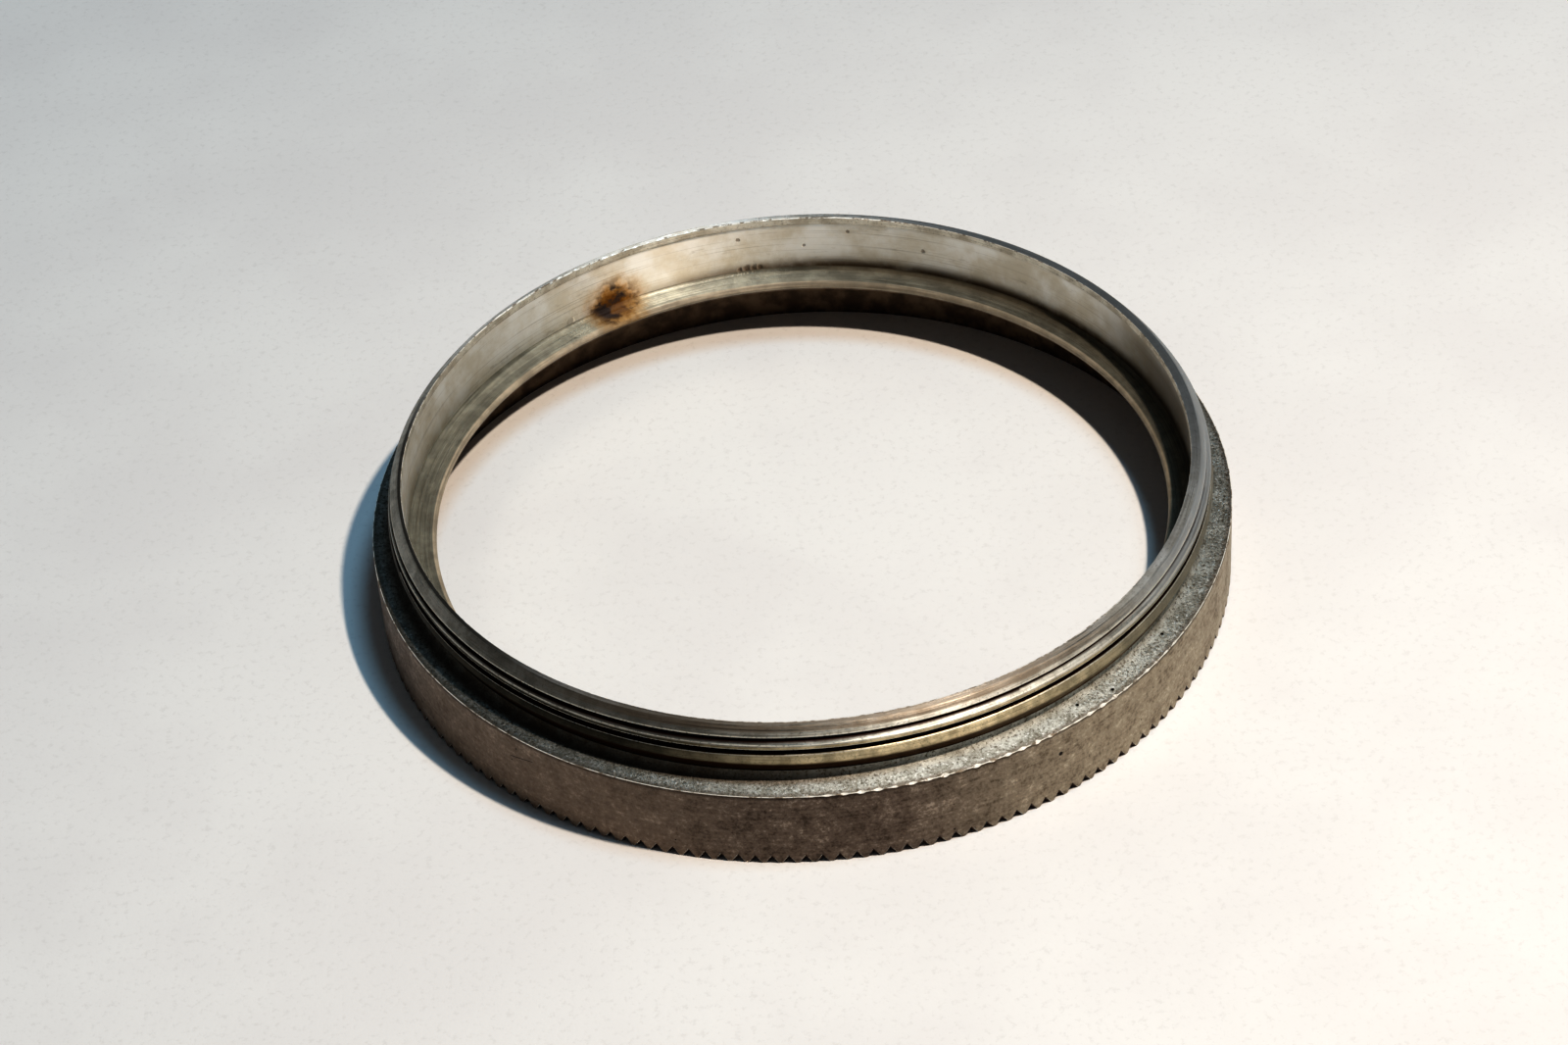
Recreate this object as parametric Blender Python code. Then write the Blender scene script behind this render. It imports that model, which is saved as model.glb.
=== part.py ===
"""A threaded step ring, turned from one bar of steel.

A short neck with an outside thread stands on a wider flange.  Inside the neck a smooth pocket ends on a thin
seat.  Below the seat the flange is a thin skirt, and V notches are cut into the skirt's outer bottom corner.

Units are metres.  The ring stands on its notched edge: the origin is the centre of the bottom, +Z is the
ring's axis and points out of the neck.
"""

import math

import bmesh
import bpy

# Driving dimensions
FLANGE_R = 0.0273  # outer face of the flange
FLANGE_H = 0.0054  # bottom edge to shoulder
TOTAL_H = 0.00925  # bottom edge to lip
THREAD_R = 0.0260  # crest of the neck's thread
THREAD_PITCH = 0.00075
POCKET_R = 0.0250  # smooth wall inside the neck
SEAT_R = 0.0233  # inner edge of the seat, the ring's clear opening
SEAT_TOP = 0.0049
SEAT_THICK = 0.0008
SKIRT_R = 0.0265  # inside of the skirt
NOTCH_COUNT = 170
NOTCH_H = 0.00046  # how far each notch reaches up the outer face
NOTCH_DEEP = 0.0005  # how far each notch reaches in across the bottom

# Details that follow from them
EDGE_CHAMFER = 0.00013
THREAD_DEPTH = 0.613 * THREAD_PITCH
THREAD_TURNS = 2
THREAD_START_Z = 0.0073  # centre of the groove where it begins, at +X
THREAD_FADE = 0.055  # share of a turn over which the groove runs in and out
RELIEF_R = THREAD_R - 0.0004
RELIEF_TOP = 0.0067
CREST_BOTTOM = 0.00708
CREST_TOP = 0.00835
SHOULDER_FLAT_R = 0.0262  # the shoulder is flat, and clear of the thread's crest, outside this radius
UNDERCUT = 0.00003  # how far the fillet's foot lies below the shoulder
FILLET = 0.0003
LIP_OUTER_R = 0.0253
LIP_INNER_R = 0.02485
LIP_BAND = 0.0005
SEAT_ROUND = 0.00025
NOTCH_BAND = 0.0009  # height of the band of the outer face that holds the notches
NOTCH_SHARE = 0.55  # part of the pitch that a notch takes up

# Mesh fineness
TEETH_PER_SIDE = 2
SIDES = NOTCH_COUNT // TEETH_PER_SIDE
ROWS_PER_PITCH = 5
ROOT_ROW = 1  # the row that is the root of the groove's first turn
ROWS_ABOVE = 2  # rows above the root of the groove's last turn
ARC_STEPS = 3


def clear_scene():
    for obj in list(bpy.data.objects):
        bpy.data.objects.remove(obj)


def steel(name):
    material = bpy.data.materials.new(name)
    material.use_nodes = True
    shader = material.node_tree.nodes["Principled BSDF"]
    shader.inputs["Base Color"].default_value = (0.40, 0.37, 0.33, 1.0)
    shader.inputs["Metallic"].default_value = 1.0
    shader.inputs["Roughness"].default_value = 0.42
    return material


def ring(bm, radius, height):
    """One closed loop of vertices around the axis."""
    loop = []
    for side in range(SIDES):
        angle = math.tau * side / SIDES
        loop.append(bm.verts.new((radius * math.cos(angle), radius * math.sin(angle), height)))
    return loop


def bridge(bm, first, second):
    """Quads between two loops."""
    for side in range(SIDES):
        after = (side + 1) % SIDES
        bm.faces.new((first[side], first[after], second[after], second[side]))


def lathe(bm, start, profile):
    """Continue the surface from a loop through (radius, height) points; returns the last loop."""
    last = start
    for radius, height in profile:
        following = ring(bm, radius, height)
        bridge(bm, last, following)
        last = following
    return last


def arc(centre_r, centre_z, radius, start_deg, end_deg):
    """Points on a round stretch of the profile."""
    points = []
    for step in range(ARC_STEPS + 1):
        angle = math.radians(start_deg + (end_deg - start_deg) * step / ARC_STEPS)
        points.append((centre_r + radius * math.cos(angle), centre_z + radius * math.sin(angle)))
    return points


def neck_radius(height):
    """The neck's outline without its thread: a straight crest, then a bevel in to the lip."""
    if height <= CREST_TOP:
        return THREAD_R
    share = (height - CREST_TOP) / (TOTAL_H - CREST_TOP)
    return THREAD_R + share * (LIP_OUTER_R - THREAD_R)


def groove_depth(turn):
    """How much of the groove's depth is cut, from its start at turn 0 to its end."""
    nearest_end = min(turn, THREAD_TURNS - turn)
    return max(0.0, min(1.0, nearest_end / THREAD_FADE))


def thread_vertex(bm, side, row):
    """A vertex of the threaded neck: rows climb one pitch per turn, and one row in each pitch is a root."""
    angle = math.tau * side / SIDES
    turn_here, row_in_pitch = divmod(row - ROOT_ROW, ROWS_PER_PITCH)
    turn = side / SIDES
    height = THREAD_START_Z + THREAD_PITCH * ((row - ROOT_ROW) / ROWS_PER_PITCH + turn)
    radius = neck_radius(height)
    if row_in_pitch == 0:
        root = THREAD_R - THREAD_DEPTH
        radius -= max(0.0, radius - root) * groove_depth(turn_here + turn)
    return bm.verts.new((radius * math.cos(angle), radius * math.sin(angle), height))


def threaded_neck(bm, below):
    """The neck's outer surface, with its helical groove, up from the loop below it; returns its upper loop."""
    rows = ROOT_ROW + (THREAD_TURNS - 1) * ROWS_PER_PITCH + 1 + ROWS_ABOVE
    grid = [[thread_vertex(bm, side, row) for row in range(rows)] for side in range(SIDES)]
    above = ring(bm, LIP_OUTER_R, TOTAL_H)
    for side in range(SIDES - 1):
        here, after = grid[side], grid[side + 1]
        bm.faces.new((below[side], below[side + 1], after[0], here[0]))
        for row in range(rows - 1):
            bm.faces.new((here[row], after[row], after[row + 1], here[row + 1]))
        bm.faces.new((here[-1], after[-1], above[side + 1], above[side]))
    last, first = grid[-1], grid[0]
    climb = ROWS_PER_PITCH
    for row in range(rows - 1 - climb):
        bm.faces.new((last[row], first[row + climb], first[row + climb + 1], last[row + 1]))
    bm.faces.new([below[-1], below[0]] + first[: climb + 1] + [last[0]])
    bm.faces.new([first[-1], above[0], above[-1]] + last[: rows - climb - 2 : -1])
    return above


def chord_point(bm, radius, side, share, height):
    """A vertex part of the way along one straight side of the ring."""
    start = math.tau * side / SIDES
    end = math.tau * (side + 1) / SIDES
    x = radius * ((1 - share) * math.cos(start) + share * math.cos(end))
    y = radius * ((1 - share) * math.sin(start) + share * math.sin(end))
    return bm.verts.new((x, y, height))


def notch(bm, side, tooth):
    """One notch: where it starts on the outer edge, its peak, where it ends, and its inner point."""
    middle = (tooth + 0.5) / TEETH_PER_SIDE
    half = NOTCH_SHARE / 2 / TEETH_PER_SIDE
    start = chord_point(bm, FLANGE_R, side, middle - half, 0.0)
    peak = chord_point(bm, FLANGE_R, side, middle, NOTCH_H)
    end = chord_point(bm, FLANGE_R, side, middle + half, 0.0)
    inner = chord_point(bm, FLANGE_R - NOTCH_DEEP, side, middle, 0.0)
    bm.faces.new((start, peak, inner))
    bm.faces.new((peak, end, inner))
    return start, peak, end, inner


def notched_skirt_foot(bm, band):
    """The skirt's bottom with its notches, joined to the band above them; returns its inner loop."""
    outer = ring(bm, FLANGE_R, 0.0)
    inside = ring(bm, SKIRT_R, 0.0)
    for side in range(SIDES):
        after = (side + 1) % SIDES
        face_line = [outer[side]]
        bottom_line = [outer[side]]
        for tooth in range(TEETH_PER_SIDE):
            start, peak, end, inner = notch(bm, side, tooth)
            face_line += [start, peak, end]
            bottom_line += [start, inner, end]
        bm.faces.new(face_line + [outer[after], band[after], band[side]])
        bm.faces.new(bottom_line + [outer[after], inside[after], inside[side]])
    return inside


def flange_profile():
    """Up the outer face from the notched band, and in across the shoulder to the foot of the thread."""
    return [
        (FLANGE_R, FLANGE_H - EDGE_CHAMFER),
        (FLANGE_R - EDGE_CHAMFER, FLANGE_H),
        (SHOULDER_FLAT_R, FLANGE_H),
        *arc(RELIEF_R + FILLET, FLANGE_H - UNDERCUT + FILLET, FILLET, 270, 180),
        (RELIEF_R, RELIEF_TOP),
        (THREAD_R, CREST_BOTTOM),
    ]


def inside_profile():
    """From the lip down the pocket, round the seat and out to the top of the skirt's inside."""
    seat_bottom = SEAT_TOP - SEAT_THICK
    return [
        (LIP_INNER_R, TOTAL_H),
        (LIP_INNER_R, TOTAL_H - LIP_BAND),
        (POCKET_R, TOTAL_H - LIP_BAND - (POCKET_R - LIP_INNER_R)),
        (POCKET_R, SEAT_TOP),
        *arc(SEAT_R + SEAT_ROUND, SEAT_TOP - SEAT_ROUND, SEAT_ROUND, 90, 180),
        *arc(SEAT_R + SEAT_ROUND, seat_bottom + SEAT_ROUND, SEAT_ROUND, 180, 270),
        (SKIRT_R, seat_bottom),
    ]


def step_ring():
    bm = bmesh.new()
    band = ring(bm, FLANGE_R, NOTCH_BAND)
    skirt_foot = notched_skirt_foot(bm, band)
    neck_foot = lathe(bm, band, flange_profile())
    neck_top = threaded_neck(bm, neck_foot)
    skirt_top = lathe(bm, neck_top, inside_profile())
    bridge(bm, skirt_top, skirt_foot)
    bmesh.ops.recalc_face_normals(bm, faces=bm.faces)
    mesh = bpy.data.meshes.new("step_ring")
    bm.to_mesh(mesh)
    bm.free()
    mesh.shade_smooth()
    mesh.set_sharp_from_angle(angle=math.radians(20))
    mesh.materials.append(steel("turned_steel"))
    obj = bpy.data.objects.new("step_ring", mesh)
    bpy.context.collection.objects.link(obj)
    return obj


clear_scene()
step_ring()
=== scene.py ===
"""The looks of the threaded step ring: one finely turned ring of worn steel, standing on pale paper.

Units are metres, in the part's own frame: the origin is the centre of the ring's bottom, +Z is its axis.
Angles are counter-clockwise from +X, seen from above.
"""

import math

import bmesh
import bpy
import numpy as np
from mathutils import Matrix, Vector


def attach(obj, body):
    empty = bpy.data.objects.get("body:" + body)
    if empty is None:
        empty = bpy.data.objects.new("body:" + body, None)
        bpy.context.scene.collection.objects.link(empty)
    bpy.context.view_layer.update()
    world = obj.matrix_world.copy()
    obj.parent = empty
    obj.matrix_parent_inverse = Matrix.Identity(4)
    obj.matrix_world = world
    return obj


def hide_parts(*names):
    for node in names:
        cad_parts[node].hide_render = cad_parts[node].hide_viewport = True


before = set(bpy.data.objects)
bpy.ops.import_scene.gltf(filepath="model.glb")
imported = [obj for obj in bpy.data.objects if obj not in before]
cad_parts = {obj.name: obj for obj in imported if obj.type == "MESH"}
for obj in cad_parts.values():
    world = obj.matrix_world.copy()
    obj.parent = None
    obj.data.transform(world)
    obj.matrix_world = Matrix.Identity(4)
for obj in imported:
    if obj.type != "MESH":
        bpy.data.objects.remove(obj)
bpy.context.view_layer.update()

MM = 0.001

# Shape of the ring, as the part has it
FLANGE_R = 0.0273
FLANGE_H = 0.0054
TOTAL_H = 0.00925
THREAD_R = 0.0260
THREAD_PITCH = 0.00075
POCKET_R = 0.0250
SEAT_R = 0.0233
SEAT_TOP = 0.0049
SEAT_THICK = 0.0008
SKIRT_R = 0.0265
NOTCH_COUNT = 170
NOTCH_H = 0.00046

# Finer shape
SEAM_NOTCH = 42.31  # the mesh's first column of notches, in notches from +X: it lies at the back
NOTCH_PHASES = (-0.41, -0.20, 0.0, 0.20, 0.41)  # mesh columns across one notch, in pitches
NOTCH_HEIGHTS = (0.0, 0.70, 1.35, 0.70, 0.0)  # height of the edge there, as part of NOTCH_H
NOTCH_DEEP = 0.0003  # how far in a notch of height NOTCH_H reaches
NOTCH_BEVEL = 0.00004
RELIEF_R = 0.02565
RELIEF_TOP = 0.0061
CREST_BOTTOM = 0.0071
CREST_TOP = 0.0083
LIP_OUTER_R = 0.0253
LIP_INNER_R = 0.02487
LIP_BAND = 0.0005
LIP_SHIFT = 0.00018  # the lip's inner edge is this far off centre, towards -X
POCKET_SHIFT = 0.00010
GROOVE_HALF = 0.00021  # half of a groove's width at the crest
GROOVE_FLOOR = 0.00002  # half of its width at the root
GROOVE_DEPTH = 0.00045
GROOVE_LOW_Z = 0.0066355  # height of the lowest groove where the mesh begins
CROWN = 0.00016  # how much lower a land's edges are than its middle
BULGE = 0.00012  # how much fatter the neck is at the foot of the crest
BULGE_TOP = 0.0076
THREAD_START = 0.74  # where the groove starts and ends, in turns from the mesh's seam
THREAD_END = 2.76
THREAD_FADE = 0.08
FILLET = 0.00055
SEAT_ROUND = 0.00025
CORNER_FILLET = 0.00022
SHARP_ANGLE = 38.0  # shading breaks at steeper folds than this
MERGE_DISTANCE = 1e-7

# Mesh rows in each pitch of the thread, in mm above the groove's centre
GROOVE_ROWS = (-0.31, -0.25, -0.22, -0.20, -0.165, -0.02, 0.02, 0.165, 0.20, 0.22, 0.25, 0.31, 0.375)
PLAIN_ROWS = (-0.20, 0.0, 0.19, 0.375)  # where no groove is cut

# Wear, dirt and painted shade
BURR_ANGLE = 108.0  # here, and opposite, the lip's inner edge is turned over the most
WORN_ANGLE = 297.0  # the flange's top edge is worn to dashes round here
SHADED_CORNER_ANGLE = 42.0  # painted shade in the pocket's corner is strongest on this side, and its foot is browner here
RUST_ANGLE = 118.0
RUST_RADIUS = 24.9  # mm
RUST_HEIGHT = 5.2  # mm
FULL_GRIME = {"neck": 0.06 * MM, "bevel": 0.30 * MM}  # depth below which a groove is all dark
BARE = -1.0  # per-point value of dirt and painted shade on an edge that is rubbed clean

# Floor, lamp and window
FLOOR_HALF = 1.6
LAMP_PLACE = (0.079, -0.055, 0.218)
LAMP_TARGET = (0.020, -0.030, 0.0)
LAMP_WATTS = 1.47
LAMP_COLOR = (1.0, 0.845, 0.70)
LAMP_RADIUS = 0.005
LAMP_CONE = 160.0
WINDOW_PLACE = (0.28, -0.03, 1.05)
WINDOW_WATTS = 2.7
WINDOW_COLOR = (0.38, 0.72, 1.0)
WINDOW_ACROSS = 0.33
HORIZON_COLOR = (0.30, 0.32, 0.34, 1.0)
ROOM_COLOR = (0.052, 0.056, 0.060, 1.0)

# Camera
SENSOR_MM = 36.0
FOCAL_MM = 91.07
CAMERA_DISTANCE = 0.25597
CAMERA_ELEVATION = 40.78
CAMERA_ROLL = 4.098
CAMERA_PAN = (-0.580, -0.265)


def column_angles():
    """The mesh's columns round the ring: five to a notch, with the first one repeated a turn later."""
    starts = (np.arange(NOTCH_COUNT) + SEAM_NOTCH)[:, None]
    angles = ((starts + np.array(NOTCH_PHASES)) * math.tau / NOTCH_COUNT).ravel()
    return np.append(angles, angles[0] + math.tau)


THETA = column_angles()
TURN = (THETA - THETA[0]) / math.tau
NOTCH_EDGE = np.append(np.tile(NOTCH_HEIGHTS, NOTCH_COUNT), NOTCH_HEIGHTS[0]) * NOTCH_H


def ripple(seed, slowest, fastest, waves=30):
    """A random line round the ring, mostly between -1 and 1, made of whole waves so that it closes."""
    random = np.random.RandomState(seed)
    total = np.zeros(len(THETA))
    for _ in range(waves):
        count = random.randint(slowest, fastest)
        total += np.sin(count * THETA + random.uniform(0.0, math.tau))
    return total / math.sqrt(waves)


def facing(angle):
    """1 on the side of the ring at this angle, 0 a quarter turn away and -1 opposite."""
    return np.cos(THETA - math.radians(angle))


class Rows:
    """The ring's section as rows of points from the skirt's foot outwards, up, in and back down."""

    def __init__(self):
        self.radii = []
        self.heights = []
        self.grime_and_shade = []
        self.zones = []

    def add(self, zone, radius, height, grime_and_shade=0.0):
        """One row of points; the strip from it to the next row takes the zone's material."""
        blank = np.zeros(len(THETA))
        self.radii.append(blank + radius)
        self.heights.append(blank + height)
        self.grime_and_shade.append(blank + grime_and_shade)
        self.zones.append(zone)

    def arc(self, zone, centre_r, centre_z, radius, start, end, steps=5, grime_and_shade=0.0):
        for step in range(steps + 1):
            angle = math.radians(start + (end - start) * step / steps)
            self.add(
                zone,
                centre_r + radius * math.cos(angle),
                centre_z + radius * math.sin(angle),
                grime_and_shade,
            )


def notch_floor(radius):
    """Height of the notched bottom at a radius: each notch slopes down towards the inside."""
    fall = (FLANGE_R - radius) * NOTCH_H / NOTCH_DEEP
    return np.maximum(NOTCH_EDGE - fall, 0.0)


def add_outside(rows):
    """The notched bottom edge and the flange's outer face."""
    # The bottom face and its notches are marked fully dark: painted shade under the ring.
    for radius in (SKIRT_R, SKIRT_R + 0.25 * MM, FLANGE_R - 0.2 * MM, FLANGE_R - NOTCH_BEVEL):
        rows.add("underside", radius, notch_floor(radius), 1.0)
    edge = NOTCH_EDGE + NOTCH_BEVEL
    rows.add("edge", FLANGE_R - 0.3 * NOTCH_BEVEL, edge - 0.7 * NOTCH_BEVEL)
    rows.add("outer", FLANGE_R, edge)
    for height in (0.62, 0.8, 2.0, 3.6, 5.1):
        rows.add("outer", FLANGE_R, height * MM)


def add_shoulder(rows):
    """The flange's worn top edge, the shoulder and the fillet at the neck's foot."""
    land = 1.0 - np.clip(NOTCH_EDGE / NOTCH_H * 4.0, 0.0, 1.0)
    wear = np.clip(1.0 + 0.5 * ripple(5, 20, 200), 0.3, 1.6)
    wear *= np.clip((facing(WORN_ANGLE) - 0.86) / 0.08, 0.0, 1.0)
    chamfer = (0.02 + 0.08 * land * wear) * MM
    # A thin line just under the top edge is marked dark: painted shade below the edge.
    rows.add("outer", FLANGE_R, FLANGE_H - chamfer - 0.06 * MM, 0.9)
    rows.add("edge", FLANGE_R, FLANGE_H - chamfer)
    rows.add("edge", FLANGE_R - 1.2 * chamfer, FLANGE_H)
    rows.add("shoulder", FLANGE_R - 1.2 * chamfer - 0.02 * MM, FLANGE_H)
    for radius in (27.0, 26.7, 26.4):
        rows.add("shoulder", radius * MM, FLANGE_H)
    rows.arc("shoulder", RELIEF_R + FILLET, FLANGE_H + FILLET, FILLET, 270, 190)


def neck_radius(height):
    """The neck's outline without its thread: relief, a smooth rise to the crest, and a bevel to the lip."""
    rise = np.clip((height - RELIEF_TOP) / (CREST_BOTTOM - RELIEF_TOP), 0.0, 1.0)
    bulge = BULGE * (1.0 - np.clip((height - CREST_BOTTOM) / (BULGE_TOP - CREST_BOTTOM), 0.0, 1.0))
    radius = RELIEF_R + rise ** 2 * (3.0 - 2.0 * rise) * (THREAD_R + bulge - RELIEF_R)
    bevel = np.clip((height - CREST_TOP) / (TOTAL_H - CREST_TOP), 0.0, 1.0)
    return radius - bevel ** 1.15 * (THREAD_R - LIP_OUTER_R)


def add_thread(rows):
    """The relief and the threaded crest.  The rows climb one pitch a turn, so that they follow the groove."""
    rows.add("relief", RELIEF_R, 6.0 * MM)
    rows.add("relief", RELIEF_R, RELIEF_TOP - 0.05 * MM)
    slope = GROOVE_DEPTH / (GROOVE_HALF - GROOVE_FLOOR)
    top = TOTAL_H - 0.04 * MM
    for groove in range(-1, 4):
        turn = groove + TURN
        centre = GROOVE_LOW_Z + THREAD_PITCH * turn
        strength = np.clip(np.minimum(turn - THREAD_START, THREAD_END - turn) / THREAD_FADE, 0.0, 1.0)
        grooved = groove + 1 > THREAD_START and groove < THREAD_END
        for offset in GROOVE_ROWS if grooved else PLAIN_ROWS:
            height = np.clip(centre + offset * MM, RELIEF_TOP, top)
            away = np.abs(height - centre)
            root = THREAD_R - GROOVE_DEPTH
            cut = root + slope * np.maximum(away - GROOVE_FLOOR, 0.0)
            crown = CROWN * (1.0 - np.clip(away / (0.5 * THREAD_PITCH), 0.0, 1.0)) ** 2
            plain = neck_radius(height) - crown * strength
            depth = np.maximum(plain - cut, 0.0) * strength
            rubbed = BARE * np.exp(-(((away - GROOVE_HALF) / (0.04 * MM)) ** 2)) * strength
            zone = "bevel" if groove >= 2 else "neck"
            grime_and_shade = np.where(depth > 0.0, depth / FULL_GRIME[zone], rubbed)
            rows.add(zone, plain - depth, height, grime_and_shade)


def add_lip(rows):
    """The narrow lip with its uneven inner burr, and the band below it."""
    shift = LIP_SHIFT * np.cos(THETA)
    burr = 0.012 * MM * ripple(21, 40, 420)
    bright = np.clip((np.abs(facing(BURR_ANGLE)) - 0.72) / 0.18, 0.0, 1.0)
    reach = (0.02 + 0.08 * bright) * MM
    dents = 0.02 * MM * np.clip(ripple(22, 10, 160) - 1.1, 0.0, 1.0)
    rows.add("lip", LIP_OUTER_R - 0.03 * MM, TOTAL_H)
    rows.add("lip", LIP_OUTER_R - 0.16 * MM - 0.4 * shift, TOTAL_H)
    rows.add("lip", LIP_INNER_R + reach + 0.03 * MM - shift, TOTAL_H - dents)
    rows.add("edge", LIP_INNER_R + reach - shift + 2.0 * bright * burr, TOTAL_H + np.abs(burr) - dents)
    rows.add("band", LIP_INNER_R - shift + bright * burr, TOTAL_H - 0.04 * MM - dents)
    rows.add("band", LIP_INNER_R - shift, TOTAL_H - 0.12 * MM)
    rows.add("band", LIP_INNER_R - shift, TOTAL_H - LIP_BAND)


def add_inside(rows):
    """The pocket, the seat with its rounded edge, the seat's underside and the skirt's inside."""
    shift = POCKET_SHIFT * np.cos(THETA)
    wall = POCKET_R - shift
    # The marks at the pocket's top and foot and in its corner with the seat darken them: painted shade.
    for height, grime_and_shade in ((8.62, 0.3), (8.4, 0.0), (7.5, 0.0), (6.7, 0.0), (6.0, 0.05), (5.6, 0.15)):
        rows.add("pocket", wall, height * MM, grime_and_shade)
    rows.arc("seat", wall - CORNER_FILLET, SEAT_TOP + CORNER_FILLET, CORNER_FILLET, 0, -75, 4, 0.7)
    rows.add("seat", wall - CORNER_FILLET, SEAT_TOP, 0.5)
    for radius, grime_and_shade in ((24.75, 0.2), (24.4, 0.0), (24.0, 0.0), (23.7, 0.0)):
        rows.add("seat", radius * MM, SEAT_TOP, grime_and_shade)
    rows.arc("seat_edge", SEAT_R + SEAT_ROUND, SEAT_TOP - SEAT_ROUND, SEAT_ROUND, 90, 190)
    bottom = SEAT_TOP - SEAT_THICK
    rows.arc("underside", SEAT_R + 2.0 * SEAT_ROUND, bottom + 1.5 * SEAT_ROUND, 1.5 * SEAT_ROUND, 195, 270)
    for radius in (24.4, 25.4, 26.35):
        rows.add("underside", radius * MM, bottom)
    for height in (4.0, 3.0, 2.0, 1.0, 0.3, 0.0):
        rows.add("underside", SKIRT_R, height * MM)


def ring_rows():
    """The whole section: out from the skirt's foot, up, in over the lip and back down to the foot."""
    rows = Rows()
    add_outside(rows)
    add_shoulder(rows)
    add_thread(rows)
    add_lip(rows)
    add_inside(rows)
    return rows


def weld(mesh):
    """Join the first and last columns, and the first and last rows, into a closed surface."""
    bm = bmesh.new()
    bm.from_mesh(mesh)
    bmesh.ops.remove_doubles(bm, verts=bm.verts, dist=MERGE_DISTANCE)
    bm.to_mesh(mesh)
    bm.free()


def ring_mesh(name, materials):
    """Build the ring from its rows; the zones' names choose among the materials."""
    rows = ring_rows()
    radii = np.array(rows.radii)
    heights = np.array(rows.heights)
    points = np.stack([radii * np.cos(THETA), radii * np.sin(THETA), heights], axis=-1)
    row_count, column_count = radii.shape
    index = np.arange(row_count * column_count).reshape(row_count, column_count)
    quads = np.stack([index[:-1, :-1], index[:-1, 1:], index[1:, 1:], index[1:, :-1]], axis=-1)
    mesh = bpy.data.meshes.new(name)
    mesh.from_pydata(points.reshape(-1, 3).tolist(), [], quads.reshape(-1, 4).tolist())
    slots = list(materials)
    for zone in slots:
        mesh.materials.append(materials[zone])
    zone_index = np.array([slots.index(zone) for zone in rows.zones[:-1]])
    mesh.polygons.foreach_set("material_index", np.repeat(zone_index, column_count - 1))
    # Per-point darkening: deeper in the grooves, and painted shade in the pocket's corner, along the notched
    # bottom and just under the flange's top edge; negative on edges rubbed bare
    grime_and_shade = mesh.attributes.new("grime_and_shade", "FLOAT", "POINT")
    grime_and_shade.data.foreach_set("value", np.array(rows.grime_and_shade).ravel())
    weld(mesh)
    mesh.shade_smooth()
    mesh.set_sharp_from_angle(angle=math.radians(SHARP_ANGLE))
    obj = bpy.data.objects.new(name, mesh)
    bpy.context.collection.objects.link(obj)
    return obj


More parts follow.
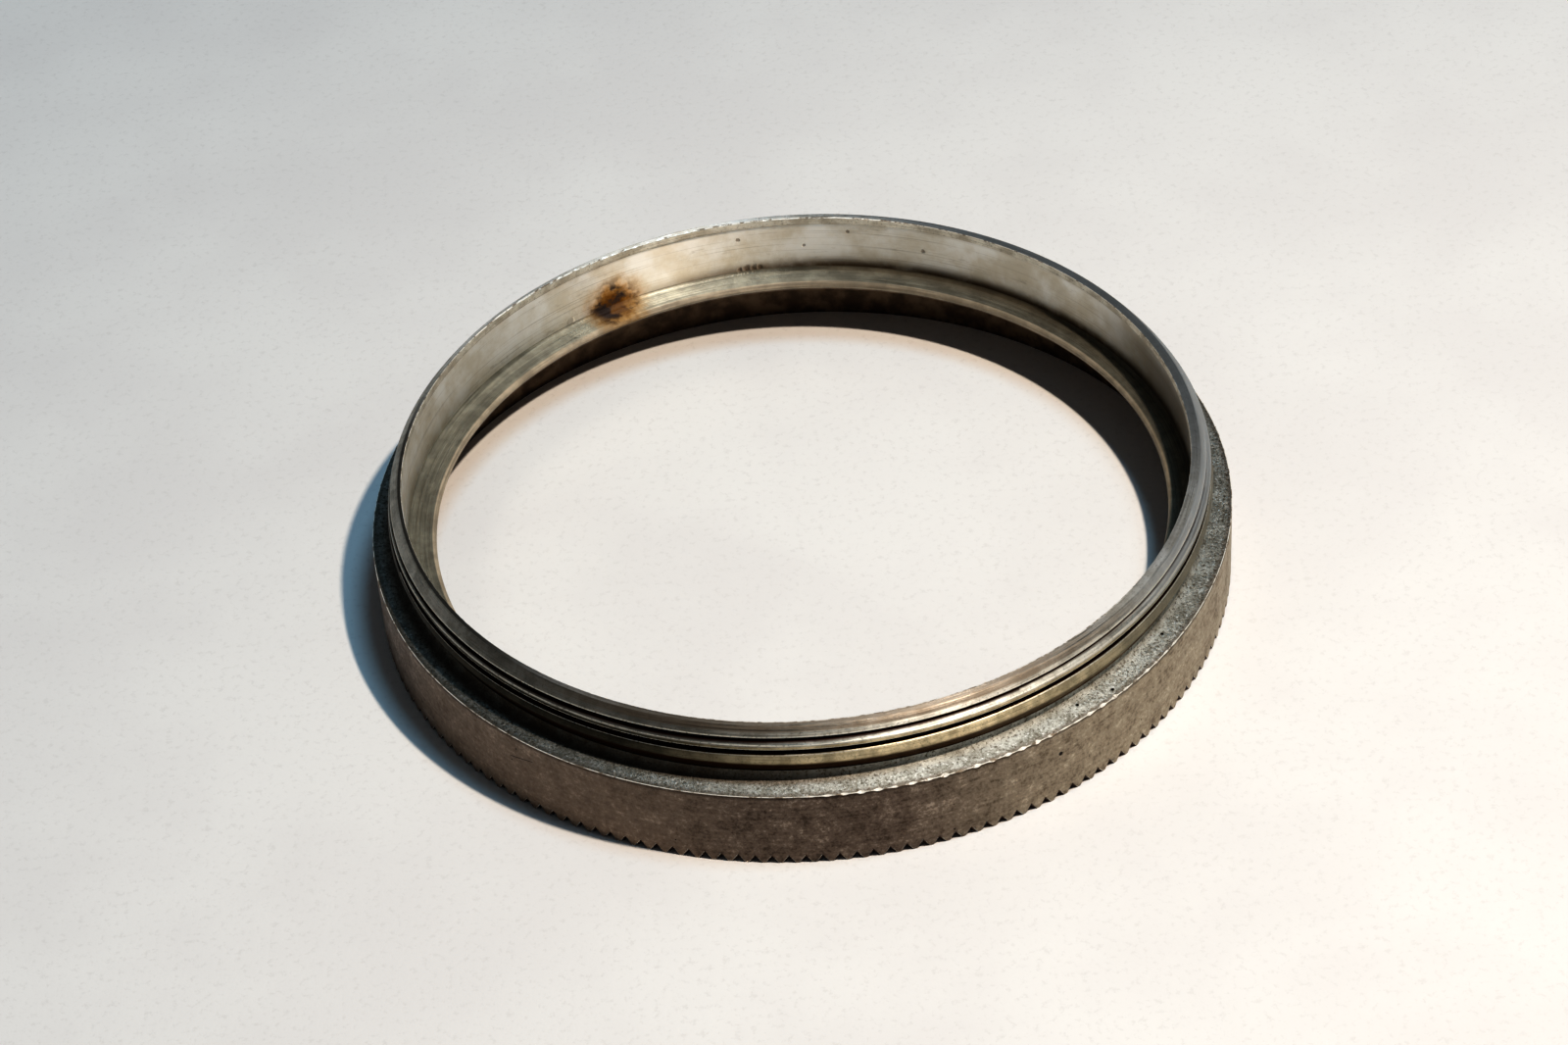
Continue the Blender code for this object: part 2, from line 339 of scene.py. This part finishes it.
class Graph:
    """Short calls that build one material's nodes.  Lengths inside a graph are in millimetres."""

    def __init__(self, name):
        self.material = bpy.data.materials.new(name)
        self.material.use_nodes = True
        self.tree = self.material.node_tree
        self.shader = self.tree.nodes["Principled BSDF"]
        place = self.node("ShaderNodeTexCoord")
        scaled = self.node("ShaderNodeVectorMath", operation="SCALE")
        self.tree.links.new(place.outputs["Object"], scaled.inputs[0])
        scaled.inputs["Scale"].default_value = 1.0 / MM
        self.place = scaled.outputs[0]
        split = self.node("ShaderNodeSeparateXYZ")
        self.put(split.inputs[0], self.place)
        self.x, self.y, self.z = split.outputs
        flat = self.math("ADD", self.math("MULTIPLY", self.x, self.x), self.math("MULTIPLY", self.y, self.y))
        self.radius = self.math("SQRT", flat)

    def node(self, kind, **settings):
        made = self.tree.nodes.new(kind)
        for name, value in settings.items():
            setattr(made, name, value)
        return made

    def put(self, socket, value):
        """Link an output to a socket, or set the socket to a plain value."""
        if isinstance(value, bpy.types.NodeSocket):
            self.tree.links.new(value, socket)
        elif isinstance(value, tuple) and len(value) == 3 and socket.type == "RGBA":
            socket.default_value = (*value, 1.0)
        else:
            socket.default_value = value

    def math(self, operation, first, second=0.0):
        made = self.node("ShaderNodeMath", operation=operation)
        self.put(made.inputs[0], first)
        self.put(made.inputs[1], second)
        return made.outputs[0]

    def range(self, value, low, high, bottom=0.0, top=1.0):
        """A smooth step: bottom where value is at low, top where it is at high."""
        made = self.node("ShaderNodeMapRange", interpolation_type="SMOOTHSTEP")
        for socket, number in zip(made.inputs, (value, low, high, bottom, top)):
            self.put(socket, number)
        return made.outputs[0]

    def mix(self, factor, first, second):
        made = self.node("ShaderNodeMix", data_type="RGBA")
        self.put(made.inputs[0], factor)
        self.put(made.inputs[6], first)
        self.put(made.inputs[7], second)
        return made.outputs[2]

    def noise(self, scale, detail=3.0, roughness=0.55, place=None, offset=0.0):
        """Cloudy noise from about 0.25 to 0.75, with this many clouds to a millimetre."""
        made = self.node("ShaderNodeTexNoise", noise_dimensions="4D")
        self.put(made.inputs["Vector"], place or self.place)
        self.put(made.inputs["W"], offset)
        self.put(made.inputs["Scale"], scale)
        self.put(made.inputs["Detail"], detail)
        self.put(made.inputs["Roughness"], roughness)
        return made.outputs[0]

    def turned(self, along, across):
        """A place stretched along the turning direction, for lines that run round the ring."""
        made = self.node("ShaderNodeCombineXYZ")
        self.put(made.inputs[0], self.math("MULTIPLY", self.x, along))
        self.put(made.inputs[1], self.math("MULTIPLY", self.y, along))
        self.put(made.inputs[2], self.math("MULTIPLY", self.math("SUBTRACT", self.z, self.radius), across))
        return made.outputs[0]

    def rust(self):
        """How brown and how black the rust stain is.  It runs from the pocket's wall onto the seat."""
        clumps = self.range(self.noise(0.9, 4.0, 0.6, offset=2.0), 0.40, 0.56)
        halo = self.spot(RUST_ANGLE - 0.1, RUST_RADIUS, RUST_HEIGHT, 3.0, 1.8, 0.75)
        core = self.spot(RUST_ANGLE, RUST_RADIUS, RUST_HEIGHT + 0.1, 2.3, 1.2, 0.6)
        core = self.math("MULTIPLY", clumps, core)
        return halo, core

    def rusted(self, color):
        """The colour with the rust stain over it."""
        halo, core = self.rust()
        color = self.mix(self.math("MULTIPLY", halo, 0.90), color, (0.46, 0.24, 0.03))
        brown = self.spot(RUST_ANGLE, RUST_RADIUS, RUST_HEIGHT - 0.2, 1.9, 2.0, 0.7)
        color = self.mix(self.math("MULTIPLY", brown, 0.85), color, (0.12, 0.042, 0.004))
        return self.mix(core, color, (0.022, 0.008, 0.003))

    def toward(self, angle):
        """1 on the side of the ring at this angle, 0 a quarter turn away and -1 opposite."""
        turn = math.radians(angle)
        east = self.math("MULTIPLY", self.math("DIVIDE", self.x, self.radius), math.cos(turn))
        north = self.math("MULTIPLY", self.math("DIVIDE", self.y, self.radius), math.sin(turn))
        return self.math("ADD", east, north)

    def grime_and_shade(self):
        return self.node("ShaderNodeAttribute", attribute_name="grime_and_shade").outputs["Fac"]

    def specks(self, per_mm, share, size):
        """Scattered dots: this many cells to a millimetre, a share of them holding a dot of this size."""
        made = self.node("ShaderNodeTexVoronoi", voronoi_dimensions="4D")
        self.put(made.inputs["Vector"], self.place)
        self.put(made.inputs["Scale"], per_mm)
        dot = self.range(made.outputs["Distance"], size, 0.5 * size)
        pick = self.node("ShaderNodeSeparateColor")
        self.put(pick.inputs[0], made.outputs["Color"])
        return self.math("MULTIPLY", dot, self.math("LESS_THAN", pick.outputs[0], share))

    def spot(self, angle, radius, height, size, ragged=0.0, soft=0.5):
        """A mark of this size round a point of the ring, with a ragged edge."""
        turn = math.radians(angle)
        made = self.node("ShaderNodeVectorMath", operation="DISTANCE")
        self.put(made.inputs[0], self.place)
        self.put(made.inputs[1], (radius * math.cos(turn), radius * math.sin(turn), height))
        distance = made.outputs["Value"]
        if ragged:
            edge = self.math("SUBTRACT", self.noise(1.6, 5.0, 0.65, offset=angle), 0.5)
            distance = self.math("ADD", distance, self.math("MULTIPLY", edge, ragged))
        return self.range(distance, size, size * (1.0 - soft))

    def scratch(self, start, end, width):
        """A thin mark on the outer face between two points, each an angle and a height."""
        ends = []
        for angle, height in (start, end):
            turn = math.radians(angle)
            ends.append(Vector((FLANGE_R / MM * math.cos(turn), FLANGE_R / MM * math.sin(turn), height)))
        along = (ends[1] - ends[0]).normalized()
        middle = (ends[0] + ends[1]) / 2.0
        from_middle = self.node("ShaderNodeVectorMath", operation="SUBTRACT")
        self.put(from_middle.inputs[0], self.place)
        self.put(from_middle.inputs[1], tuple(middle))
        dot = self.node("ShaderNodeVectorMath", operation="DOT_PRODUCT")
        self.put(dot.inputs[0], from_middle.outputs[0])
        self.put(dot.inputs[1], tuple(along))
        length = self.node("ShaderNodeVectorMath", operation="LENGTH")
        self.put(length.inputs[0], from_middle.outputs[0])
        run = dot.outputs["Value"]
        reach = length.outputs["Value"]
        square = self.math("SUBTRACT", self.math("MULTIPLY", reach, reach), self.math("MULTIPLY", run, run))
        aside = self.math("SQRT", square)
        half = (ends[1] - ends[0]).length / 2.0
        line = self.range(aside, width, 0.5 * width)
        return self.math("MULTIPLY", line, self.range(reach, half, 0.8 * half))

    def most(self, *values):
        result = values[0]
        for value in values[1:]:
            result = self.math("MAXIMUM", result, value)
        return result

    def bump(self, height, distance, normal=None):
        """Tilt the surface by a height of 0 to 1, which stands for this many millimetres."""
        made = self.node("ShaderNodeBump")
        self.put(made.inputs["Strength"], 1.0)
        self.put(made.inputs["Distance"], distance * MM)
        self.put(made.inputs["Height"], height)
        if normal is not None:
            self.put(made.inputs["Normal"], normal)
        return made.outputs[0]

    def turning_marks(self, lines, roughness, shine=0.40):
        """Fine marks round the ring, some of them shiny, which spread each highlight across themselves."""
        shiny = self.range(lines, 0.49, 0.56)
        tangent = self.node("ShaderNodeTangent", direction_type="RADIAL", axis="Z")
        self.put(self.shader.inputs["Tangent"], tangent.outputs[0])
        self.put(self.shader.inputs["Anisotropic"], self.range(shiny, 0.0, 1.0, 0.65, 0.98))
        self.put(self.shader.inputs["Anisotropic Rotation"], 0.25)
        return self.range(shiny, 0.0, 1.0, roughness, shine)

    def finish(self, color, metallic, roughness, normal):
        self.put(self.shader.inputs["Base Color"], color)
        self.put(self.shader.inputs["Metallic"], metallic)
        self.put(self.shader.inputs["Roughness"], roughness)
        self.put(self.shader.inputs["Normal"], normal)
        return self.material


def outer_face():
    """Dull brown film over turned steel: mottled, with faint turning lines, and paler on the side facing the
    lamp, from wear and painted light.
    """
    g = Graph("outer_face")
    clouds = g.noise(0.7, 6.0, 0.7)
    fine = g.noise(4.5, 5.0, 0.72, offset=3.0)
    streaks = g.noise(1.0, 4.0, 0.6, place=g.turned(0.22, 5.0))
    shade = g.math("ADD", g.math("MULTIPLY", clouds, 0.40), g.math("MULTIPLY", fine, 0.45))
    shade = g.math("ADD", shade, g.math("MULTIPLY", streaks, 0.15))
    film = g.mix(g.range(shade, 0.39, 0.51), (0.072, 0.051, 0.037), (0.155, 0.116, 0.090))
    film = g.mix(g.range(shade, 0.51, 0.64), film, (0.38, 0.31, 0.25))
    # Paler film towards 328°, the side facing the lamp: partly wear, partly painted light.
    worn = g.mix(g.range(shade, 0.39, 0.52), (0.21, 0.165, 0.118), (0.40, 0.34, 0.255))
    worn = g.mix(g.range(shade, 0.52, 0.64), worn, (0.64, 0.56, 0.44))
    film = g.mix(g.range(g.toward(230.0), 0.86, 0.99, 0.0, 0.35), film, (0.33, 0.25, 0.185))
    color = g.mix(g.range(g.toward(328.0), 0.62, 0.99), film, worn)
    # Painted shade where the rows are marked dark: the thin line just under the top edge.
    color = g.mix(g.math("MULTIPLY", g.grime_and_shade(), 0.85), color, (0.02, 0.012, 0.008))
    nick = g.spot(301.7, 27.3, 3.55, 0.18, 0.4)
    pits = g.specks(2.6, 0.10, 0.20)
    scratch = g.scratch((227.2, 3.64), (231.4, 4.09), 0.05)
    marks = g.most(nick, pits, g.math("MULTIPLY", scratch, 0.8))
    color = g.mix(marks, color, (0.012, 0.008, 0.006))
    roughness = g.range(shade, 0.40, 0.60, 0.66, 0.50)
    grain = g.bump(fine, 0.035)
    grain = g.bump(g.noise(9.0, 2.0, 0.6), 0.008, grain)
    grain = g.bump(streaks, 0.006, grain)
    grain = g.bump(marks, -0.03, grain)
    return g.finish(color, 0.75, roughness, grain)


def edge():
    """Bare steel where the film is worn off the edges, pale and barely metallic so that it looks bright from
    every side: wear, and a painted highlight.
    """
    g = Graph("edge")
    worn = g.noise(2.0, 4.0, 0.6)
    color = g.mix(g.range(worn, 0.40, 0.52), (0.26, 0.21, 0.155), (0.93, 0.90, 0.82))
    return g.finish(color, 0.30, 0.40, g.bump(worn, 0.01))


def shoulder():
    """Blasted steel: sparkling grey grain, black pits, brown dust along both edges, and painted shade on the
    side at 207°.
    """
    g = Graph("shoulder")
    clouds = g.noise(0.9, 4.0, 0.6)
    grain = g.noise(5.5, 4.0, 0.75)
    steel = g.mix(g.range(clouds, 0.38, 0.62), (0.42, 0.41, 0.36), (0.66, 0.66, 0.61))
    steel = g.mix(g.range(grain, 0.49, 0.38), steel, (0.20, 0.18, 0.14))
    bright = g.math("MULTIPLY", g.range(grain, 0.55, 0.64), g.range(g.radius, 26.15, 26.35))
    steel = g.mix(bright, steel, (0.97, 0.97, 0.95))
    rim = g.range(g.radius, 26.85, 27.15)
    dust = g.math("MULTIPLY", g.range(g.radius, 26.45, 26.0), g.range(g.toward(225.0), 0.5, 0.95))
    dusty = g.most(dust, g.math("MULTIPLY", rim, 0.6))
    brown = g.math("MULTIPLY", dusty, g.range(clouds, 0.3, 0.6, 0.5, 1.0))
    steel = g.mix(brown, steel, (0.17, 0.12, 0.08))
    # Painted shade on the side at 207°, where the neck's shadow falls.
    painted_shade_side = g.range(g.toward(207.0), 0.3, 0.95, 0.0, 0.5)
    steel = g.mix(painted_shade_side, steel, (0.07, 0.08, 0.07))
    placed = (306.4, 26.22, 0.13), (311.7, 26.73, 0.15), (324.2, 26.24, 0.14), (329.3, 25.9, 0.10)
    pits = g.specks(1.1, 0.10, 0.10)
    for angle, radius, size in placed:
        pits = g.most(pits, g.spot(angle, radius, 5.4, size))
    color = g.mix(pits, steel, (0.008, 0.006, 0.005))
    normal = g.bump(grain, 0.07)
    normal = g.bump(g.noise(13.0, 2.0, 0.6), 0.015, normal)
    normal = g.bump(pits, -0.06, normal)
    roughness = g.turning_marks(g.noise(7.0, 3.0, 0.7, offset=5.0), 0.66)
    return g.finish(color, 0.90, roughness, normal)


def neck(name, steel_color, dull_color, roughness, metallic=1.0, stains=()):
    """Turned steel: fine lines round the ring, darker towards the groove bottoms, edges rubbed bare, and on
    some sides stains, painted shade and painted highlights.

    Each stain or painted patch is the angle of its side of the ring, how far round it starts and is full (as
    cosines), the heights where it starts and is full, how strong it is, and its colour.
    """
    g = Graph(name)
    clouds = g.noise(0.7, 5.0, 0.65)
    lines = g.noise(1.0, 4.0, 0.65, place=g.turned(0.14, 16.0))
    grain = g.noise(6.0, 3.0, 0.7)
    color = g.mix(g.range(clouds, 0.38, 0.62), dull_color, steel_color)
    color = g.mix(g.range(lines, 0.45, 0.34, 0.0, 0.6), color, tuple(0.25 * c for c in dull_color))
    color = g.mix(g.range(grain, 0.46, 0.34, 0.0, 0.5), color, tuple(0.4 * c for c in dull_color))
    # Stains, and patches of painted shade and highlight, each on its side of the ring.
    for angle, start, full, fade_z, full_z, strength, stain in stains:
        here = g.math("MULTIPLY", g.range(g.toward(angle), start, full), g.range(g.z, fade_z, full_z))
        color = g.mix(g.math("MULTIPLY", here, strength), color, stain)
    bare = g.math("MULTIPLY", g.range(g.grime_and_shade(), -0.25, -0.8), g.range(grain, 0.36, 0.5, 0.3, 1.0))
    color = g.mix(bare, color, (0.82, 0.78, 0.68))
    grime_and_shade = g.range(g.grime_and_shade(), 0.05, 0.45)
    color = g.mix(grime_and_shade, color, (0.040, 0.013, 0.008))
    specks = g.specks(2.4, 0.05, 0.18)
    color = g.mix(specks, color, (0.03, 0.018, 0.012))
    normal = g.bump(lines, 0.010)
    normal = g.bump(grain, 0.014, normal)
    dull = g.turning_marks(lines, g.range(clouds, 0.35, 0.65, roughness + 0.05, roughness), 0.38)
    return g.finish(color, metallic, g.math("ADD", dull, g.math("MULTIPLY", grime_and_shade, 0.2)), normal)


EVEN_SHINE = 0.53  # in place of lines: marks that are all equally shiny


def pocket():
    """The smooth wall inside the neck: silver to olive, pitted, with rust stains, a brown foot, and painted
    shade in the corner and on the side at 3°.
    """
    g = Graph("pocket")
    clouds = g.noise(0.35, 5.0, 0.6)
    lines = g.noise(1.0, 4.0, 0.6, place=g.turned(0.08, 9.0))
    blotches = g.noise(1.0, 5.0, 0.65, place=g.turned(0.6, 2.2), offset=4.0)
    color = g.mix(g.range(clouds, 0.34, 0.64), (0.76, 0.70, 0.58), (0.95, 0.93, 0.87))
    color = g.mix(g.range(lines, 0.45, 0.33, 0.0, 0.35), color, (0.27, 0.22, 0.15))
    color = g.mix(g.range(blotches, 0.42, 0.28, 0.0, 0.35), color, (0.30, 0.24, 0.15))
    foot = g.math("MULTIPLY", g.range(g.z, 6.1, 5.1), g.range(g.toward(SHADED_CORNER_ANGLE), 0.2, 0.8))
    foot = g.math("MULTIPLY", foot, g.range(g.noise(0.5, 4.0, 0.6, offset=7.0), 0.3, 0.55, 0.5, 1.0))
    color = g.mix(foot, color, (0.17, 0.13, 0.085))
    # Painted shade on the side of the wall at 3°, a little weaker near its top.
    side = g.math("MULTIPLY", g.range(g.toward(3.0), 0.80, 0.99, 0.0, 0.92), g.range(g.z, 8.6, 7.4, 0.7, 1.0))
    color = g.mix(side, color, (0.14, 0.12, 0.09))
    # Painted shade in the corner with the seat, strongest on the side at 42°.
    corner = g.math("MULTIPLY", g.grime_and_shade(), g.range(g.toward(SHADED_CORNER_ANGLE), -0.3, 0.9, 0.0, 0.7))
    color = g.mix(corner, color, (0.10, 0.07, 0.045))
    halo, core = g.rust()
    color = g.rusted(color)
    pits = g.specks(0.8, 0.10, 0.12)
    placed = (96.9, 7.79, 0.16), (86.7, 6.88, 0.16), (79.7, 8.03, 0.12), (67.7, 7.0, 0.22)
    for angle, height, size in placed:
        pits = g.most(pits, g.spot(angle, 25.0, height, size, 0.4))
    for angle, size in ((93.9, 0.30), (94.9, 0.42), (95.9, 0.38), (97.0, 0.26)):
        pits = g.most(pits, g.spot(angle, 25.0, 5.3, size, 0.5, 0.8))
    pits = g.most(pits, g.math("MULTIPLY", g.spot(125.7, 25.0, 5.3, 0.35, 0.6), 0.4))
    color = g.mix(g.math("MULTIPLY", pits, 0.6), color, (0.10, 0.055, 0.025))
    stain = g.math("MAXIMUM", halo, foot)
    normal = g.bump(lines, 0.008)
    normal = g.bump(g.noise(3.0, 3.0, 0.6), 0.012, normal)
    normal = g.bump(pits, -0.03, normal)
    roughness = g.turning_marks(EVEN_SHINE, g.range(clouds, 0.35, 0.65, 0.50, 0.40), 0.46)
    roughness = g.math("ADD", roughness, g.math("MULTIPLY", stain, 0.2))
    return g.finish(color, g.range(core, 0.0, 1.0, 1.0, 0.2), roughness, normal)


def seat(name, steel_color, metallic, roughness):
    """The seat: dull steel with lines round it, painted shade in the corner and towards 30°, and the rust
    stain.
    """
    g = Graph(name)
    clouds = g.noise(0.6, 5.0, 0.65)
    lines = g.noise(1.0, 3.0, 0.6, place=g.turned(0.10, 12.0))
    grain = g.noise(6.0, 3.0, 0.7)
    color = g.mix(g.range(clouds, 0.36, 0.64), tuple(0.65 * c for c in steel_color), steel_color)
    color = g.mix(g.range(lines, 0.46, 0.34, 0.0, 0.6), color, tuple(0.35 * c for c in steel_color))
    # Painted shade in the corner with the wall, strongest on the side at 42°.
    corner = g.math("MULTIPLY", g.grime_and_shade(), g.range(g.toward(SHADED_CORNER_ANGLE), -0.3, 0.9, 0.0, 0.8))
    brown = (0.12, 0.10, 0.065)
    color = g.mix(corner, color, brown)
    # Painted shade on the seat towards 30°, where the wall's shadow falls.
    color = g.mix(g.range(g.toward(30.0), 0.3, 0.85, 0.0, 0.3), color, brown)
    color = g.rusted(color)
    halo, core = g.rust()
    crust = g.most(halo, core)
    normal = g.bump(lines, 0.012)
    normal = g.bump(grain, 0.02, normal)
    roughness = g.math("ADD", g.turning_marks(lines, roughness), g.math("MULTIPLY", crust, 0.35))
    return g.finish(color, g.range(crust, 0.0, 1.0, metallic, 0.0), roughness, normal)


def underside():
    """The hidden faces: brown film, as on the outer face, and duller; painted near-black along the notched
    bottom, as shade.
    """
    g = Graph("underside")
    clouds = g.noise(0.6, 5.0, 0.6)
    color = g.mix(g.range(clouds, 0.38, 0.62), (0.07, 0.045, 0.028), (0.17, 0.12, 0.078))
    # Painted shade: the notched bottom is marked nearly black.
    color = g.mix(g.math("MULTIPLY", g.grime_and_shade(), 0.9), color, (0.025, 0.009, 0.005))
    return g.finish(color, 0.6, 0.6, g.bump(clouds, 0.02))


def paper():
    """Pale paper with a faint tooth and a little dust."""
    g = Graph("paper")
    clouds = g.noise(0.05, 4.0, 0.6)
    tooth = g.noise(2.0, 4.0, 0.7)
    color = g.mix(g.range(clouds, 0.35, 0.65), (0.80, 0.79, 0.78), (0.84, 0.835, 0.82))
    color = g.mix(g.range(tooth, 0.48, 0.34, 0.0, 0.5), color, (0.70, 0.69, 0.675))
    color = g.mix(g.math("MULTIPLY", g.specks(0.12, 0.08, 0.028), 0.6), color, (0.12, 0.10, 0.09))
    normal = g.bump(tooth, 0.02)
    g.put(g.shader.inputs["Specular IOR Level"], 0.2)
    return g.finish(color, 0.0, 0.75, normal)


# Stains, painted shade and painted highlights of the neck's zones: side of the ring, cosines where each
# starts and is full, the same for its height in mm, its strength and its colour
ALL_HEIGHTS = (5.0, 5.1)  # full everywhere on the neck
# Painted shade: the relief nearly black towards 225°.
RELIEF_PAINTED_SHADE = (225.0, 0.10, 0.75, *ALL_HEIGHTS, 0.97, (0.008, 0.007, 0.006))
# Dark brown under the crest towards 252°: dirt, with painted shade under the overhang.
FOOT_BROWN = (252.0, 0.25, 0.85, 7.02, 6.72, 0.95, (0.045, 0.017, 0.006))
# Painted shade: the neck nearly black towards 205°.
NECK_PAINTED_SHADE_LEFT = (205.0, 0.35, 0.8, *ALL_HEIGHTS, 0.93, (0.010, 0.011, 0.010))
# Painted shade: the neck greyer and darker towards 0°.
NECK_PAINTED_SHADE_RIGHT = (0.0, 0.40, 0.90, *ALL_HEIGHTS, 0.85, (0.20, 0.19, 0.15))
# Painted shade: the bevel darker towards 240°.
BEVEL_PAINTED_SHADE = (240.0, 0.80, 0.99, *ALL_HEIGHTS, 0.60, (0.10, 0.095, 0.08))
# Painted highlight: the bevel pale towards 355°.
BEVEL_PAINTED_HIGHLIGHT = (355.0, 0.70, 0.98, *ALL_HEIGHTS, 0.85, (0.72, 0.73, 0.72))
BEVEL_BROWN = (275.0, 0.60, 0.95, 8.90, 9.02, 0.75, (0.22, 0.165, 0.115))
LIP_BROWN = (276.0, 0.60, 0.95, *ALL_HEIGHTS, 0.90, (0.255, 0.205, 0.155))
# Painted shade: the lip a darker blue-grey towards 35°.
LIP_PAINTED_SHADE_BACK_RIGHT = (35.0, 0.50, 0.92, *ALL_HEIGHTS, 0.80, (0.26, 0.29, 0.31))
# Painted shade: the lip dark towards 195°.
LIP_PAINTED_SHADE_LEFT = (195.0, 0.70, 0.95, *ALL_HEIGHTS, 0.90, (0.06, 0.055, 0.045))
NECK_STAINS_AND_PAINTED_SHADE = (NECK_PAINTED_SHADE_LEFT, NECK_PAINTED_SHADE_RIGHT, FOOT_BROWN)
BEVEL_STAINS_AND_PAINTED_LIGHT = (BEVEL_PAINTED_SHADE, BEVEL_PAINTED_HIGHLIGHT, BEVEL_BROWN)
LIP_STAINS_AND_PAINTED_SHADE = (LIP_BROWN, LIP_PAINTED_SHADE_BACK_RIGHT, LIP_PAINTED_SHADE_LEFT)
RELIEF_STAINS_AND_PAINTED_SHADE = (FOOT_BROWN, RELIEF_PAINTED_SHADE)


def ring_materials():
    return {
        "underside": underside(),
        "outer": outer_face(),
        "edge": edge(),
        "shoulder": shoulder(),
        "relief": neck("relief", (0.30, 0.23, 0.16), (0.17, 0.125, 0.085), 0.5, 1.0, RELIEF_STAINS_AND_PAINTED_SHADE),
        "neck": neck("neck", (0.80, 0.68, 0.46), (0.45, 0.38, 0.25), 0.5, 1.0, NECK_STAINS_AND_PAINTED_SHADE),
        "bevel": neck("bevel", (0.70, 0.66, 0.58), (0.44, 0.41, 0.35), 0.58, 0.93, BEVEL_STAINS_AND_PAINTED_LIGHT),
        "lip": neck("lip", (0.90, 0.89, 0.85), (0.66, 0.64, 0.58), 0.56, 0.85, LIP_STAINS_AND_PAINTED_SHADE),
        "band": neck("band", (0.80, 0.76, 0.66), (0.54, 0.49, 0.40), 0.5),
        "pocket": pocket(),
        "seat": seat("seat", (0.45, 0.43, 0.355), 0.75, 0.62),
        "seat_edge": seat("seat_edge", (0.54, 0.46, 0.35), 0.30, 0.72),
    }


def make_floor():
    corners = [(FLOOR_HALF * x, FLOOR_HALF * y, 0.0) for x, y in ((-1, -1), (1, -1), (1, 1), (-1, 1))]
    mesh = bpy.data.meshes.new("floor")
    mesh.from_pydata(corners, [], [(0, 1, 2, 3)])
    mesh.materials.append(paper())
    floor = bpy.data.objects.new("floor", mesh)
    bpy.context.collection.objects.link(floor)


def place_light(light, place, target, watts, color):
    light.energy = watts
    light.color = color
    obj = bpy.data.objects.new(light.name, light)
    obj.location = place
    obj.rotation_euler = (Vector(target) - Vector(place)).to_track_quat("-Z", "Y").to_euler()
    bpy.context.collection.objects.link(obj)


def make_lights():
    """A small warm lamp at the front right, and a soft cool one far above."""
    lamp = bpy.data.lights.new("lamp", "SPOT")
    lamp.shadow_soft_size = LAMP_RADIUS
    lamp.spot_size = math.radians(LAMP_CONE)
    lamp.spot_blend = 1.0
    place_light(lamp, LAMP_PLACE, LAMP_TARGET, LAMP_WATTS, LAMP_COLOR)
    window = bpy.data.lights.new("window", "AREA")
    window.shape = "DISK"
    window.size = WINDOW_ACROSS
    place_light(window, WINDOW_PLACE, (0.0, 0.0, 0.0), WINDOW_WATTS, WINDOW_COLOR)


def make_world():
    """A dim room with a pale band at the horizon."""
    world = bpy.data.worlds.new("room")
    world.use_nodes = True
    tree = world.node_tree
    background = tree.nodes["Background"]
    place = tree.nodes.new("ShaderNodeTexCoord")
    split = tree.nodes.new("ShaderNodeSeparateXYZ")
    tree.links.new(place.outputs["Generated"], split.inputs[0])
    ramp = tree.nodes.new("ShaderNodeValToRGB")
    tree.links.new(split.outputs[2], ramp.inputs[0])
    low, high = ramp.color_ramp.elements
    low.position = 0.04
    low.color = HORIZON_COLOR
    high.position = 0.14
    high.color = ROOM_COLOR
    tree.links.new(ramp.outputs[0], background.inputs[0])
    bpy.context.scene.world = world


def make_camera():
    """The camera looks down at the ring from -Y, rolled and panned a little."""
    elevation = math.radians(CAMERA_ELEVATION)
    level = Matrix(
        (
            (1.0, 0.0, 0.0),
            (0.0, math.sin(elevation), -math.cos(elevation)),
            (0.0, math.cos(elevation), math.sin(elevation)),
        )
    )
    pan_x = Matrix.Rotation(math.radians(CAMERA_PAN[0]), 3, "X")
    pan_y = Matrix.Rotation(math.radians(CAMERA_PAN[1]), 3, "Y")
    roll = Matrix.Rotation(math.radians(CAMERA_ROLL), 3, "Z")
    turned = level @ (roll @ pan_x @ pan_y).transposed()
    place = Vector((0.0, -math.cos(elevation), math.sin(elevation))) * CAMERA_DISTANCE
    data = bpy.data.cameras.new("camera")
    data.sensor_width = SENSOR_MM
    data.lens = FOCAL_MM
    data.clip_start = 0.01
    camera = bpy.data.objects.new("camera", data)
    camera.matrix_world = Matrix.Translation(place) @ turned.to_4x4()
    bpy.context.collection.objects.link(camera)
    bpy.context.scene.camera = camera


ring = ring_mesh("ring", ring_materials())
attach(ring, "root")
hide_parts("step_ring")
make_floor()
make_lights()
make_world()
make_camera()
bpy.context.scene.view_settings.view_transform = "Standard"
bpy.context.scene.view_settings.look = "High Contrast"
